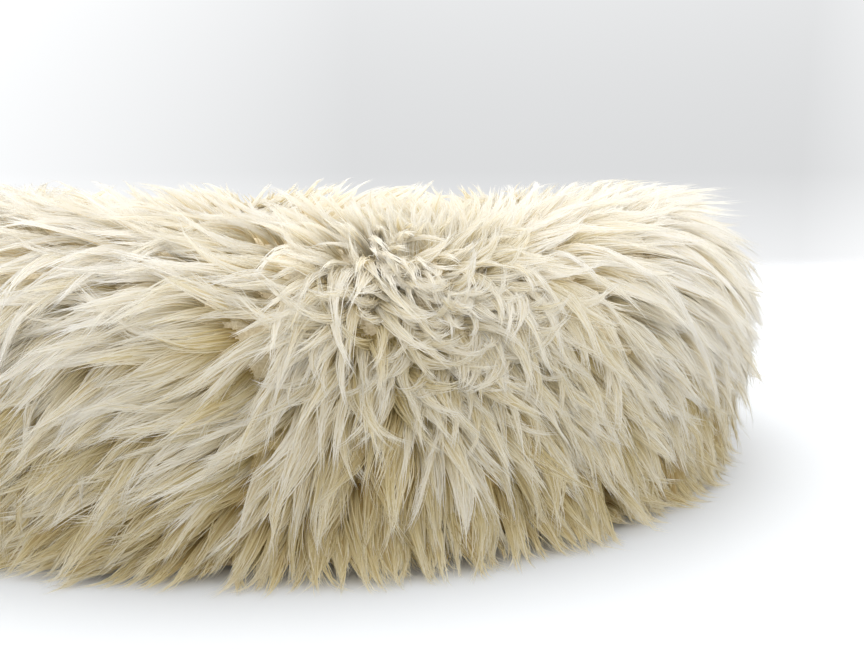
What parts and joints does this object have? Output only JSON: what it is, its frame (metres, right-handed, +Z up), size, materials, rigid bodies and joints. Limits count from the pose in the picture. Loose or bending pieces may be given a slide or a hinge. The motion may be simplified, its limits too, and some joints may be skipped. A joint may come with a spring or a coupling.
{
  "type": "pet cushion bed",
  "caption": "Round sheepskin pet bed: a filled bolster ring on a canvas base, with a zip at the rear and a loose lift-out cushion in the well.",
  "frame": {"origin": "on the floor, under the middle of the bed, at the bottom of the silicone pads", "axes": "+Z up, -Y to the front of the bed, +Y to the zip at its rear, +X to the right seen from the front"},
  "size_m": [0.7898, 0.7898, 0.215],
  "materials": {
    "sheepskin": "long combed wool, cream, ochre at the roots",
    "canvas": "plain-weave cotton canvas",
    "piping": "bias-cut canvas over cord",
    "cotton": "plain cotton",
    "fibre": "hollow polyester fibre",
    "foam": "open-cell foam",
    "silicone": "matt translucent silicone",
    "zip_tape": "herringbone woven tape",
    "zip_coil": "satin nylon coil",
    "zip_metal": "antique brass plate",
    "label": "blank woven satin"
  },
  "bodies": {
    "nest": {"non_slip_pads": "silicone", "base_panel": "canvas", "base_welt_cord": "cotton", "base_welt_sleeve": "piping", "base_foam": "foam", "floor_panel": "canvas", "base_band": "canvas", "zip_facing_lower": "canvas", "zip_facing_upper": "canvas", "zip_tape_lower": "zip_tape", "zip_tape_upper": "zip_tape", "zip_coil_lower": "zip_coil", "zip_coil_upper": "zip_coil", "zip_stop_start": "zip_metal", "zip_stop_end": "zip_metal", "care_label": "label", "ring_liner": "cotton", "ring_fill": "fibre", "crest_stay_tape": "cotton", "ring_outer_panel_front": "sheepskin", "ring_outer_panel_right": "sheepskin", "ring_outer_panel_rear": "sheepskin", "ring_outer_panel_left": "sheepskin", "ring_inner_panel_front": "sheepskin", "ring_inner_panel_right": "sheepskin", "ring_inner_panel_rear": "sheepskin", "ring_inner_panel_left": "sheepskin"},
    "cushion": {"cushion_top_panel": "sheepskin", "cushion_base_flap_long": "canvas", "cushion_base_flap_short": "canvas", "cushion_welt_cord": "cotton", "cushion_welt_sleeve": "piping", "cushion_liner": "cotton", "cushion_fill": "fibre"},
    "zip_slider": {"zip_slider": "zip_metal"},
    "zip_pull": {"zip_pull": "zip_metal"}
  },
  "joints": [
    {"name": "cushion_lift", "type": "slide", "parent": "nest", "child": "cushion", "axis": [0, 0, 1], "range_m": [0, 0.3]},
    {"name": "zip_run", "type": "hinge", "parent": "nest", "child": "zip_slider", "pos_m": [0, 0, 0.016], "axis": [0, 0, 1], "range_deg": [0, 76]},
    {"name": "pull_swing", "type": "hinge", "parent": "zip_slider", "child": "zip_pull", "pos_m": [0.22322, 0.28409, 0.016], "axis": [0, 0, 1], "range_deg": [0, 170]}
  ]
}
